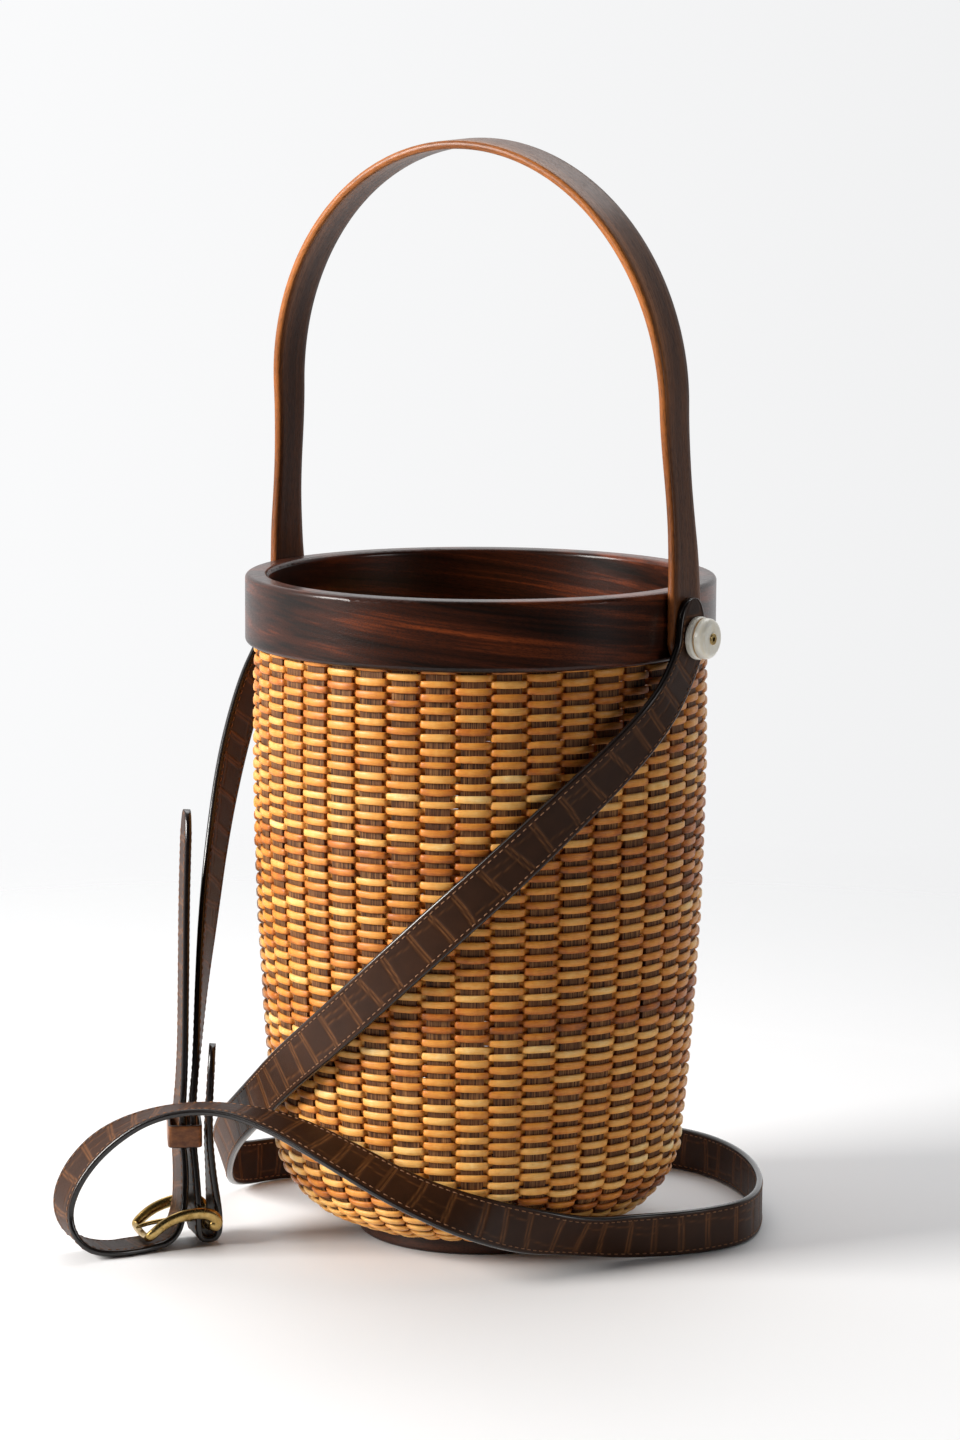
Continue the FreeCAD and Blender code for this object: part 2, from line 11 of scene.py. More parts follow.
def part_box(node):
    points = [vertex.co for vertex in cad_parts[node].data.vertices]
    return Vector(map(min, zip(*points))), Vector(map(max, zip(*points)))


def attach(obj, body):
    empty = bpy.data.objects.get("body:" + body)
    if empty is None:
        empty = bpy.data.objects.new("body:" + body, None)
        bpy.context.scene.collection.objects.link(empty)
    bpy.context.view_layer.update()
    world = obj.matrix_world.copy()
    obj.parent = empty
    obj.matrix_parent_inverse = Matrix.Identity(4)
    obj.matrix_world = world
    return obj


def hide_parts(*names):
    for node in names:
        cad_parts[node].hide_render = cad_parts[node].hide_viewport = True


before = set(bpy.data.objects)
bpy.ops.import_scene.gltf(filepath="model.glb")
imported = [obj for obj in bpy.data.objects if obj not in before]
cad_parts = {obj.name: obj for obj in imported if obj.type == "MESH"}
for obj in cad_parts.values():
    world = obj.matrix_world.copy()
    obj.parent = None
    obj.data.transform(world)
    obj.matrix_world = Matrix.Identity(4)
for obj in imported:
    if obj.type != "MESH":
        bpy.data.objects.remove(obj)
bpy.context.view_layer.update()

# Camera: a long lens, a little above the rim, turned about the basket's axis
VIEW_AZIMUTH = math.radians(34.5)
VIEW_DISTANCE = 1.823
VIEW_HEIGHT = 0.493
VIEW_PITCH = math.radians(8.65)
VIEW_ROLL = math.radians(0.31)
VIEW_LENS = 110.8

# Studio
KEY_POWER = 52
BACK_POWER = 11
FILL_POWER = 5
NEAR_SIDE_LIGHT = 0.02
FAR_SIDE_LIGHT = 0.85

# Basket side in section
SIDE_ARC_R = 0.048
SIDE_ARC_Z = 0.045
SIDE_ARC_RADIUS = 0.036
SIDE_START_Z = 0.042
SIDE_START_R = 0.0835
SIDE_TOP_R = 0.0915
SIDE_BULGE = 0.0033

# Grain of the rim, falling to the right
GRAIN_TILT = math.radians(7)

# Cane
STAVE_COUNT = 41
ROW_PITCH = 0.00270
CANE_HEIGHT = 0.0030
CANE_DEPTH = 0.0015
CANE_THROW = 0.00172
CANE_FLATNESS = 0.36
CANE_STEPS = (-0.5, -0.475, -0.44, -0.38, -0.22, 0, 0.22, 0.38, 0.44, 0.475)
CANE_WANDER = 0.00022
CANE_LIFT_SPREAD = 0.00013
CANE_THROW_SPREAD = 0.00010
CANE_SIZE_SPREAD = 0.045
CANE_TONES = [0.38, 0.5, 0.57, 0.64, 0.72]
# Painted shade: the cane's colour is darkened on each float's lower side.
CANE_LOWER_SHADE = 0.22
# Painted shade: the cane's colour is darkened at each float's ends, where it dips under a stave.
CANE_END_SHADE = 0.16

# Handle
PIVOT_Z = 0.2586
HANDLE_LEAN = math.radians(2.5)
HANDLE_THICK = 0.0035
HANDLE_ROUND = 0.0011
HANDLE_LINE_X = 0.0978 + HANDLE_THICK / 2
EAR_R = 0.0112
ARM_STRAIGHT_Z = 0.282
ARCH_SPRING_Z = 0.3514
ARCH_HALF_SPAN = 0.096
ARCH_RISE = 0.1026
HANDLE_WIDTH_Z = [0.2586, 0.281, 0.312, 0.361, 0.41, 0.46]
HANDLE_HALF_WIDTHS = [0.0112, 0.0102, 0.0080, 0.0097, 0.0103, 0.0103]

# Straps
STRAP_WIDTH = 0.019
STRAP_THICK = 0.0028
STRAP_ROUND = 0.0011
STRAP_TIP_LENGTH = 0.014
STRAP_TIP_SHARE = 0.18
STITCH_PITCH = 0.0031
STITCH_INSET = 0.0021
SCALE_LENGTHS = (0.0095, 0.0155)
CREASE_WIDTH = 0.00040
SPLIT_WIDTH = 0.00030
EMBOSS_DEPTH = 0.00026

# Each strap's route: control point, then the direction that its grain side faces there
STRAP_LONG_ROUTE = [
    ((0.103, -0.001, 0.2745), (1, 0, 0)),
    ((0.103, 0, 0.2585), (1, 0, 0)),
    ((0.103, -0.006, 0.247), (1, 0, 0)),
    ((0.1035, -0.022, 0.231), (1, 0, 0)),
    ((0.095, -0.041, 0.212), (1, -0.3, 0)),
    ((0.080, -0.059, 0.191), (0.8, -0.5, 0)),
    ((0.063, -0.075, 0.169), (0.7, -0.8, 0)),
    ((0.043, -0.088, 0.147), (0.4, -0.9, 0)),
    ((0.019, -0.096, 0.123), (0.2, -1, 0)),
    ((-0.006, -0.098, 0.100), (0.1, -1, 0)),
    ((-0.034, -0.090, 0.079), (-0.1, -1, 0)),
    ((-0.062, -0.075, 0.058), (-0.3, -1, 0)),
    ((-0.091, -0.055, 0.038), (-0.4, -0.9, -0.1)),
    ((-0.110, -0.035, 0.019), (-0.7, -0.6, -0.4)),
    ((-0.120, -0.011, 0.010), (-1, 0, -0.2)),
    ((-0.113, 0.013, 0.0096), (-0.8, 0.5, 0)),
    ((-0.093, 0.038, 0.0096), (-0.7, 0.7, 0)),
    ((-0.066, 0.069, 0.0096), (-0.7, 0.8, 0)),
    ((-0.037, 0.099, 0.0096), (-0.6, 0.8, 0)),
    ((-0.007, 0.124, 0.0096), (-0.4, 0.9, 0)),
    ((0.027, 0.130, 0.0096), (0, 1, 0)),
    ((0.062, 0.113, 0.0096), (0.6, 0.8, 0)),
    ((0.093, 0.079, 0.0096), (0.8, 0.6, 0)),
    ((0.110, 0.042, 0.0096), (1, -0.1, 0)),
    ((0.102, 0.014, 0.0096), (0.8, -0.6, 0)),
    ((0.084, -0.010, 0.010), (0.5, -0.9, -0.1)),
    ((0.074, -0.035, 0.014), (0.1, -1, -0.1)),
    ((0.064, -0.059, 0.020), (0.2, -0.9, 0.2)),
    ((0.051, -0.080, 0.028), (0.3, -0.8, 0.6)),
    ((0.030, -0.094, 0.038), (0.1, -0.5, 0.9)),
    ((0.001, -0.100, 0.051), (0, -0.3, 0.9)),
    ((-0.028, -0.101, 0.060), (-0.1, -0.1, 1)),
    ((-0.056, -0.105, 0.0635), (0, 0.1, 1)),
    ((-0.080, -0.116, 0.060), (-0.2, -0.1, 1)),
    ((-0.098, -0.128, 0.049), (-0.3, -0.6, 0.8)),
    ((-0.108, -0.137, 0.034), (-0.5, -0.9, 0.2)),
    ((-0.112, -0.140, 0.018), (-0.5, -0.9, -0.1)),
    ((-0.105, -0.137, 0.005), (-0.4, -0.5, -0.8)),
    ((-0.097, -0.127, 0.0015), (0, 0, -1)),
    ((-0.091, -0.112, 0.0015), (0, 0, -1)),
    ((-0.085, -0.1015, 0.003), (0.5, 0.6, -0.7)),
    ((-0.084, -0.096, 0.015), (0.6, 0.8, 0)),
    ((-0.0865, -0.092, 0.030), (0.6, 0.8, 0)),
    ((-0.0895, -0.0905, 0.046), (0.7, 0.8, 0)),
    ((-0.0895, -0.087, 0.072), (0.7, 0.7, 0)),
    ((-0.0915, -0.0835, 0.110), (0.7, 0.7, 0)),
    ((-0.094, -0.0795, 0.150), (0.7, 0.7, 0)),
    ((-0.0945, -0.077, 0.179), (0.7, 0.7, 0)),
]
STRAP_SHORT_ROUTE = [
    ((-0.103, 0.001, 0.2745), (-1, 0, 0)),
    ((-0.103, 0, 0.2585), (-1, 0, 0)),
    ((-0.103, -0.0015, 0.248), (-1, 0, 0)),
    ((-0.105, -0.0075, 0.237), (-1, 0, 0)),
    ((-0.1075, -0.017, 0.222), (-1, 0, 0.1)),
    ((-0.1055, -0.033, 0.194), (-1, 0, 0.1)),
    ((-0.0995, -0.050, 0.164), (-1, -0.2, 0)),
    ((-0.0935, -0.064, 0.134), (-1, -0.3, 0)),
    ((-0.089, -0.075, 0.104), (-0.9, -0.5, 0)),
    ((-0.086, -0.082, 0.076), (-0.8, -0.6, 0)),
    ((-0.0855, -0.087, 0.048), (-0.8, -0.7, 0)),
    ((-0.082, -0.0895, 0.026), (-0.7, -0.8, 0)),
    ((-0.0805, -0.091, 0.013), (-0.6, -0.8, 0)),
    ((-0.0805, -0.091, 0.0025), (-0.4, -0.5, -0.7)),
    ((-0.075, -0.0845, 0.0025), (0.4, 0.5, -0.7)),
    ((-0.075, -0.0845, 0.013), (0.6, 0.8, 0)),
    ((-0.077, -0.084, 0.027), (0.7, 0.7, 0)),
    ((-0.079, -0.0835, 0.046), (0.8, 0.7, 0)),
    ((-0.0795, -0.081, 0.066), (0.8, 0.6, 0)),
    ((-0.0795, -0.0795, 0.082), (0.8, 0.6, 0)),
]

# Buckle, in its own axes: x from the bar to the cross bar, y along the bar
BUCKLE_BAR = Vector((-0.0778, -0.0877, 0.0075))
BUCKLE_YAW = math.radians(-128)
RAIL_HALF_SPAN = 0.0122
RAIL_LINE = [
    (0, 0), (-0.0032, 0.0036), (0.0012, 0.0074), (0.0105, 0.0074), (0.0195, 0.0044), (0.0262, -0.0012),
]
CROSS_BAR = (0.0270, -0.0022)
ROD_R = 0.00145
RAIL_HALF_HEIGHT = 0.0022
PRONG_R = 0.00105
PRONG_LOOP_R = 0.0021
PRONG_LINE = [
    (0.0020, 0.0016), (0.008, 0.0020), (0.0148, 0.0024), (0.022, 0.0018), (0.0270, 0.0008), (0.0292, 0.0),
]

# Keeper
KEEPER_CENTRE = Vector((-0.0873, -0.0888, 0.046))
KEEPER_YAW = math.radians(40)
KEEPER_INSIDE = (0.0114, 0.0224)
KEEPER_THICK = 0.0014
KEEPER_HEIGHT = 0.0095
KEEPER_CORNER = 0.0016
KEEPER_ROUND = 0.0006


# ---------------------------------------------------------------- camera, floor and light


def make_camera():
    """The view's azimuth, height, pitch and roll, as a camera matrix."""
    turn = Matrix.Rotation(VIEW_AZIMUTH, 3, "Z")
    forward = Vector((0, math.cos(VIEW_PITCH), -math.sin(VIEW_PITCH)))
    right = Vector((1, 0, 0))
    up = right.cross(forward)
    tilted_right = math.cos(VIEW_ROLL) * right + math.sin(VIEW_ROLL) * up
    tilted_up = math.cos(VIEW_ROLL) * up - math.sin(VIEW_ROLL) * right
    axes = turn @ Matrix((tilted_right, tilted_up, -forward)).transposed()
    camera = bpy.data.objects.new("camera", bpy.data.cameras.new("camera"))
    camera.data.lens = VIEW_LENS
    camera.matrix_world = Matrix.Translation(turn @ Vector((0, -VIEW_DISTANCE, VIEW_HEIGHT))) @ axes.to_4x4()
    bpy.context.collection.objects.link(camera)
    bpy.context.scene.camera = camera


def seen_from_view(across, towards, z):
    """A point given by its distance across the view, towards the camera, and up."""
    turn = Matrix.Rotation(VIEW_AZIMUTH, 3, "Z")
    return turn @ Vector((across, -towards, z))


def make_area_light(name, place, target, size, power, colour=(1, 1, 1)):
    """A soft panel that shines at a target and isn't seen itself."""
    light = bpy.data.lights.new(name, "AREA")
    light.shape = "RECTANGLE"
    light.size, light.size_y = size
    light.energy = power
    light.color = colour
    lamp = bpy.data.objects.new(name, light)
    lamp.location = place
    lamp.rotation_euler = (target - place).to_track_quat("-Z", "Y").to_euler()
    lamp.visible_camera = False
    bpy.context.collection.objects.link(lamp)


def make_lights():
    """A soft key from the left, a weak fill from the right and a pale panel above and behind."""
    middle = Vector((0, 0, 0.15))
    make_area_light("key", seen_from_view(-1.5, 0.45, 0.75), middle, (0.7, 0.7), KEY_POWER, (1.0, 0.98, 0.95))
    make_area_light("fill", seen_from_view(1.5, 0.9, 0.5), middle, (0.5, 0.5), FILL_POWER)
    make_area_light("back", seen_from_view(0.1, -0.9, 1.5), middle, (1.6, 0.9), BACK_POWER)


def show_plain_colours():
    """Colours are shown as they are lit, without a film curve."""
    bpy.context.scene.view_settings.view_transform = "Standard"


def make_surroundings():
    """A studio that is bright behind the bag and dark on the near side, and looks pale from every side."""
    graph = WorldGraph("studio")
    behind = graph.along(seen_from_view(-0.3, -0.95, 0.1))
    behind = graph.math("MULTIPLY_ADD", behind, 0.5, 0.5)
    light = graph.ramp(behind, [(0.42, NEAR_SIDE_LIGHT), (0.72, FAR_SIDE_LIGHT)])
    right = graph.math("MULTIPLY_ADD", graph.along(seen_from_view(1, 0, 0)), 0.5, 0.5)
    pale = graph.ramp(right, [(0.45, 0.965), (0.56, 0.885)])
    shown = graph.add("ShaderNodeLightPath", {}).outputs["Is Camera Ray"]
    graph.feed(graph.shader.inputs["Strength"], graph.mix(shown, light, pale))
    graph.shader.inputs["Color"].default_value = (0.99, 0.993, 1.0, 1)
    bpy.context.scene.world = graph.world


def make_floor():
    """A pale floor that fades into the surroundings away from the bag."""
    corners = [seen_from_view(across, towards, 0) for across, towards in ((-2, -2), (-2, 2), (2, 2), (2, -2))]
    mesh = bpy.data.meshes.new("floor")
    mesh.from_pydata(corners, [], [(0, 1, 2, 3)])
    floor = bpy.data.objects.new("floor", mesh)
    bpy.context.collection.objects.link(floor)
    graph = Graph("floor_paper", {"Roughness": 0.6, "Base Color": (0.80, 0.805, 0.815, 1)})
    x, y, z = graph.place()
    reach = graph.math("SQRT", graph.math("MULTIPLY_ADD", x, x, graph.math("MULTIPLY", y, y)))
    graph.feed(graph.shader.inputs["Alpha"], graph.ramp(reach, [(0.40, 1.0), (0.95, 0.0)]))
    floor.data.materials.append(graph.material)


# ---------------------------------------------------------------- material nodes


class Graph:
    """A material and short calls for the nodes in it."""

    def __init__(self, name, values):
        self.material = bpy.data.materials.new(name)
        self.material.use_nodes = True
        self.tree = self.material.node_tree
        self.shader = self.tree.nodes["Principled BSDF"]
        for socket, value in values.items():
            self.shader.inputs[socket].default_value = value

    def add(self, kind, inputs, **settings):
        node = self.tree.nodes.new(kind)
        for name, value in settings.items():
            setattr(node, name, value)
        for key, value in inputs.items():
            self.feed(node.inputs[key], value)
        return node

    def feed(self, socket, value):
        if isinstance(value, bpy.types.NodeSocket):
            self.tree.links.new(value, socket)
        else:
            socket.default_value = value

    def math(self, operation, a, b=0.0, c=0.0):
        return self.add("ShaderNodeMath", {0: a, 1: b, 2: c}, operation=operation).outputs[0]

    def place(self):
        """x, y and z of the point on the piece at rest."""
        coordinates = self.add("ShaderNodeTexCoord", {}).outputs["Object"]
        return self.add("ShaderNodeSeparateXYZ", {0: coordinates}).outputs

    def along(self, direction):
        """How far the point on the piece lies along a direction."""
        coordinates = self.add("ShaderNodeTexCoord", {}).outputs["Object"]
        node = self.add("ShaderNodeVectorMath", {0: coordinates, 1: direction}, operation="DOT_PRODUCT")
        return node.outputs["Value"]

    def stretched(self, x, y, z, scales):
        """A texture vector with its own scale, in features a metre, along each axis."""
        scaled = [self.math("MULTIPLY", value, scale) for value, scale in zip((x, y, z), scales)]
        return self.add("ShaderNodeCombineXYZ", dict(enumerate(scaled))).outputs[0]

    def noise(self, vector, detail, roughness):
        inputs = {"Vector": vector, "Scale": 1.0, "Detail": detail, "Roughness": roughness}
        return self.add("ShaderNodeTexNoise", inputs).outputs[0]

    def ramp(self, factor, stops):
        """A colour, or a grey, at each place of the factor."""
        node = self.add("ShaderNodeValToRGB", {0: factor})
        elements = node.color_ramp.elements
        while len(elements) < len(stops):
            elements.new(0.5)
        for element, (position, colour) in zip(elements, stops):
            element.position = position
            element.color = (*colour, 1) if isinstance(colour, tuple) else (colour, colour, colour, 1)
        return node.outputs[0]

    def mix(self, factor, a, b, blend="MIX"):
        node = self.add("ShaderNodeMix", {0: factor, 6: a, 7: b}, data_type="RGBA", blend_type=blend)
        return node.outputs[2]

    def bump(self, height, distance, strength=1.0):
        inputs = {"Height": height, "Distance": distance, "Strength": strength}
        normal = self.add("ShaderNodeBump", inputs).outputs[0]
        self.feed(self.shader.inputs["Normal"], normal)

    def attribute(self, name):
        return self.add("ShaderNodeAttribute", {}, attribute_name=name).outputs["Fac"]

    def colour(self, value):
        self.feed(self.shader.inputs["Base Color"], value)

    def roughness(self, value):
        self.feed(self.shader.inputs["Roughness"], value)


class WorldGraph(Graph):
    """The surroundings' nodes, with the same short calls."""

    def __init__(self, name):
        self.world = bpy.data.worlds.new(name)
        self.world.use_nodes = True
        self.tree = self.world.node_tree
        self.shader = self.tree.nodes["Background"]

    def along(self, direction):
        """How far a ray's direction points along another."""
        coordinates = self.add("ShaderNodeTexCoord", {}).outputs["Generated"]
        node = self.add("ShaderNodeVectorMath", {0: coordinates, 1: direction}, operation="DOT_PRODUCT")
        return node.outputs["Value"]


def srgb(red, green, blue):
    """A display colour of 0 to 255 as the shader's linear colour."""
    values = (red, green, blue)
    return tuple(((value / 255 + 0.055) / 1.055) ** 2.4 if value > 10 else value / 3295 for value in values)


def walnut(graph, along, across, depth, dark, middle, light):
    """Walnut whose grain runs along one texture direction: broad bands, streaks and fine pores."""
    band = graph.noise(graph.stretched(along, across, depth, (3, 100, 14)), 3, 0.5)
    streak = graph.noise(graph.stretched(along, across, depth, (7, 560, 60)), 3, 0.6)
    pore = graph.noise(graph.stretched(along, across, depth, (260, 2400, 2400)), 2, 0.6)
    tone = graph.math("ADD", graph.math("MULTIPLY", band, 0.72), graph.math("MULTIPLY", streak, 0.28))
    body = graph.ramp(tone, [(0.36, dark), (0.5, middle), (0.64, light)])
    pores = graph.ramp(pore, [(0.36, 0.45), (0.5, 1.0), (0.62, 1.12)])
    graph.colour(graph.mix(0.75, body, pores, "MULTIPLY"))
    graph.roughness(graph.ramp(pore, [(0.3, 0.46), (0.6, 0.3)]))
    graph.bump(graph.math("ADD", pore, graph.math("MULTIPLY", streak, 0.6)), 0.00012, 0.6)
    return graph.material


def rim_walnut():
    """The turned rim: straight grain through the whole ring, tilted a little from level."""
    graph = Graph("rim_walnut", {"Coat Weight": 0.3, "Coat Roughness": 0.16, "Specular IOR Level": 0.12})
    level = seen_from_view(math.cos(GRAIN_TILT), 0, -math.sin(GRAIN_TILT))
    upright = seen_from_view(math.sin(GRAIN_TILT), 0, math.cos(GRAIN_TILT))
    deep = seen_from_view(0, 1, 0)
    return walnut(graph, graph.along(level), graph.along(upright), graph.along(deep),
                  srgb(20, 9, 5), srgb(54, 24, 12), srgb(122, 56, 25))


def handle_walnut():
    """The bent handle: the grain follows the bail up one arm, over the arch and down the other, and the
    narrow side edges carry a painted highlight.
    """
    graph = Graph("handle_walnut", {"Coat Weight": 0.1, "Coat Roughness": 0.25, "Specular IOR Level": 0.18})
    x, y, z = graph.place()
    side = graph.math("ABSOLUTE", x)
    above = graph.math("SUBTRACT", z, ARCH_SPRING_Z)
    lifted = graph.math("MAXIMUM", above, 0.0)
    squares = graph.math("ADD", graph.math("MULTIPLY", side, side), graph.math("MULTIPLY", lifted, lifted))
    ring = graph.math("SQRT", squares)
    turn = graph.math("MULTIPLY", graph.math("ARCTAN2", lifted, side), ARCH_HALF_SPAN)
    along = graph.math("ADD", graph.math("MINIMUM", above, 0.0), turn)
    walnut(graph, along, y, ring, srgb(76, 42, 20), srgb(112, 66, 33), srgb(152, 94, 48))
    # Painted highlight: where the surface faces sideways, on the strip's narrow edges, its colour is made
    # lighter and warmer.
    facing = graph.add("ShaderNodeTexCoord", {}).outputs["Normal"]
    sideways = graph.math("ABSOLUTE", graph.add("ShaderNodeSeparateXYZ", {0: facing}).outputs[1])
    edge = graph.ramp(sideways, [(0.5, 0.0), (0.8, 1.0)])
    face = graph.shader.inputs["Base Color"].links[0].from_socket
    graph.colour(graph.mix(edge, face, graph.mix(1.0, face, (1.25, 1.15, 1.05, 1), "MULTIPLY")))
    return graph.material


def base_walnut():
    """The turned foot: dark, with level grain."""
    graph = Graph("base_walnut", {"Specular IOR Level": 0.25})
    x, y, z = graph.place()
    return walnut(graph, x, z, y, srgb(16, 8, 5), srgb(38, 19, 11), srgb(66, 35, 21))


def stave_wood():
    """Dark split staves with fine upright fibres."""
    graph = Graph("stave_wood", {"Specular IOR Level": 0.2})
    x, y, z = graph.place()
    angle = graph.math("ARCTAN2", y, x)
    fibre = graph.noise(graph.stretched(angle, z, 0.0, (190, 45, 1)), 3, 0.7)
    patch = graph.noise(graph.stretched(angle, z, 0.0, (9, 60, 1)), 2, 0.5)
    body = graph.ramp(fibre, [(0.34, srgb(38, 20, 11)), (0.5, srgb(100, 62, 34)), (0.66, srgb(160, 114, 68))])
    shade = graph.ramp(patch, [(0.3, 0.55), (0.7, 1.1)])
    graph.colour(graph.mix(0.7, body, shade, "MULTIPLY"))
    graph.roughness(0.62)
    graph.bump(fibre, 0.0003, 0.8)
    return graph.material


def cane_skin():
    """Varnished cane: every float has its own tone, darkened by painted shade on its lower side and at its
    ends, with fine streaks along it and small blemishes.
    """
    graph = Graph("cane_skin", {
        "Coat Weight": 0.1, "Coat Roughness": 0.3, "Specular IOR Level": 0.22,
        "Subsurface Weight": 0.06, "Subsurface Radius": (1.0, 0.55, 0.25), "Subsurface Scale": 0.001,
    })
    x, y, z = graph.place()
    angle = graph.math("ARCTAN2", y, x)
    tone = graph.attribute("tone")
    streak = graph.noise(graph.stretched(angle, z, 0.0, (26, 2600, 1)), 3, 0.6)
    patch = graph.noise(graph.stretched(angle, z, 0.0, (22, 160, 1)), 2, 0.6)
    blemish = graph.noise(graph.stretched(angle, z, 0.0, (170, 900, 1)), 2, 0.7)
    mixed = graph.math("ADD", tone, graph.math("MULTIPLY", graph.math("SUBTRACT", patch, 0.5), 0.35))
    mixed = graph.math("ADD", mixed, graph.math("MULTIPLY", graph.math("SUBTRACT", streak, 0.5), 0.35))
    body = graph.ramp(mixed, [
        (0.05, srgb(108, 56, 20)), (0.28, srgb(178, 100, 36)), (0.5, srgb(210, 138, 58)),
        (0.75, srgb(228, 172, 94)), (0.97, srgb(243, 210, 146)),
    ])
    marks = graph.ramp(blemish, [(0.27, 0.5), (0.36, 1.0)])
    graph.colour(graph.mix(0.6, body, marks, "MULTIPLY"))
    graph.roughness(graph.ramp(streak, [(0.3, 0.48), (0.7, 0.34)]))
    graph.bump(streak, 0.00018, 0.6)
    return graph.material


def crocodile_leather():
    """Embossed leather: brown scales with paler creases between them, and black glossy edges."""
    graph = Graph("crocodile_leather", {"Specular IOR Level": 0.18, "Coat Roughness": 0.2})
    x, y, z = graph.place()
    relief = graph.attribute("relief")
    edge = graph.attribute("edge")
    cloud = graph.noise(graph.stretched(x, y, z, (120, 120, 120)), 3, 0.6)
    grain = graph.noise(graph.stretched(x, y, z, (2600, 2600, 2600)), 2, 0.6)
    body = graph.ramp(relief, [
        (0.0, srgb(50, 27, 12)), (0.4, srgb(76, 45, 21)), (0.8, srgb(104, 65, 34)), (1.0, srgb(42, 23, 11)),
    ])
    body = graph.mix(0.55, body, graph.ramp(cloud, [(0.3, 0.62), (0.7, 1.25)]), "MULTIPLY")
    graph.colour(graph.mix(edge, body, (*srgb(17, 12, 11), 1)))
    graph.roughness(graph.mix(edge, graph.ramp(grain, [(0.3, 0.55), (0.7, 0.38)]), (0.25, 0.25, 0.25, 1)))
    graph.feed(graph.shader.inputs["Coat Weight"], graph.math("MULTIPLY", edge, 0.8))
    graph.bump(graph.math("ADD", graph.math("MULTIPLY", grain, 0.5), cloud), 0.00012, 0.7)
    return graph.material


def keeper_leather():
    """Smooth tan-brown leather with dark rims."""
    graph = Graph("keeper_leather", {"Coat Weight": 0.1, "Coat Roughness": 0.2, "Specular IOR Level": 0.3})
    x, y, z = graph.place()
    cloud = graph.noise(graph.stretched(x, y, z, (260, 260, 420)), 3, 0.6)
    grain = graph.noise(graph.stretched(x, y, z, (3000, 3000, 3000)), 2, 0.6)
    edge = graph.attribute("edge")
    body = graph.ramp(cloud, [(0.3, srgb(92, 52, 26)), (0.7, srgb(146, 90, 48))])
    graph.colour(graph.mix(edge, body, (*srgb(24, 15, 11), 1)))
    graph.roughness(graph.ramp(grain, [(0.3, 0.42), (0.7, 0.3)]))
    graph.bump(grain, 0.00006, 0.6)
    return graph.material


def stitch_thread():
    """Twisted brown thread."""
    graph = Graph("stitch_thread", {})
    x, y, z = graph.place()
    twist = graph.noise(graph.stretched(x, y, z, (4200, 4200, 4200)), 2, 0.5)
    graph.colour(graph.ramp(twist, [(0.35, srgb(96, 62, 38)), (0.65, srgb(150, 104, 68))]))
    graph.roughness(0.7)
    graph.bump(twist, 0.0001, 0.8)
    return graph.material


def aged_brass():
    """Brass with cloudy patches and fine scratches."""
    graph = Graph("aged_brass", {"Metallic": 1.0})
    x, y, z = graph.place()
    cloud = graph.noise(graph.stretched(x, y, z, (240, 240, 240)), 4, 0.65)
    scratch = graph.noise(graph.stretched(x, y, z, (1500, 1500, 5200)), 2, 0.6)
    graph.colour(graph.ramp(cloud, [
        (0.3, srgb(156, 126, 70)), (0.5, srgb(186, 156, 96)), (0.7, srgb(208, 180, 120)),
    ]))
    graph.roughness(graph.ramp(cloud, [(0.3, 0.32), (0.7, 0.2)]))
    graph.bump(scratch, 0.00002, 0.4)
    return graph.material


def polished_bone():
    """Ivory-coloured discs with a tan line where the two meet."""
    graph = Graph("polished_bone", {"Coat Weight": 0.3, "Coat Roughness": 0.15})
    x, y, z = graph.place()
    streak = graph.noise(graph.stretched(x, y, z, (700, 260, 90)), 3, 0.6)
    pore = graph.noise(graph.stretched(x, y, z, (2600, 2600, 2600)), 2, 0.5)
    body = graph.ramp(streak, [
        (0.3, srgb(244, 235, 212)), (0.5, srgb(252, 247, 232)), (0.7, srgb(255, 253, 244)),
    ])
    joint_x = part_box("right_ivory_knob")[0][0]
    from_joint = graph.math("ABSOLUTE", graph.math("SUBTRACT", graph.math("ABSOLUTE", x), joint_x))
    groove = graph.ramp(graph.math("MULTIPLY", from_joint, 1000), [(0.25, 1.0), (0.55, 0.0)])
    graph.colour(graph.mix(groove, body, (*srgb(206, 160, 88), 1)))
    graph.roughness(graph.ramp(pore, [(0.3, 0.36), (0.7, 0.26)]))
    graph.bump(pore, 0.00003, 0.5)
    return graph.material


# ---------------------------------------------------------------- mesh building


def unit(vectors):
    """The same directions, each one long."""
    return vectors / np.linalg.norm(vectors, axis=-1, keepdims=True)


def new_piece(name, points, faces, material, attributes=()):
    """A smooth-shaded mesh object from arrays, with float attributes on its points."""
    mesh = bpy.data.meshes.new(name)
    mesh.from_pydata(points.tolist(), [], faces)
    for key, values in attributes:
        layer = mesh.attributes.new(key, "FLOAT", "POINT")
        layer.data.foreach_set("value", np.asarray(values, np.float32).ravel())
    mesh.materials.append(material)
    mesh.shade_smooth()
    mesh.update()
    piece = bpy.data.objects.new(name, mesh)
    bpy.context.collection.objects.link(piece)
    return piece


def sweep(centres, across, outward, outlines, closed=False):
    """Points and faces of a skin over sections; outlines is (sections, points, 2), across and outward."""
    count, around = outlines.shape[:2]
    points = centres[:, None] + outlines[:, :, :1] * across[:, None] + outlines[:, :, 1:] * outward[:, None]
    rows = count if closed else count - 1
    start = np.arange(rows)[:, None] * around
    after = (np.arange(rows)[:, None] + 1) % count * around
    column = np.arange(around)[None]
    following = (column + 1) % around
    quads = np.stack([start + column, start + following, after + following, after + column], -1)
    faces = quads.reshape(-1, 4).tolist()
    if not closed:
        faces.append(list(range(around - 1, -1, -1)))
        faces.append(list(range((count - 1) * around, count * around)))
    return points.reshape(-1, 3), faces


def oval(half_width, half_height, count):
    """Ovals, one for each of two arrays of half sizes."""
    turn = np.arange(count) * 2 * math.pi / count
    return np.stack([half_width[:, None] * np.cos(turn), half_height[:, None] * np.sin(turn)], -1)


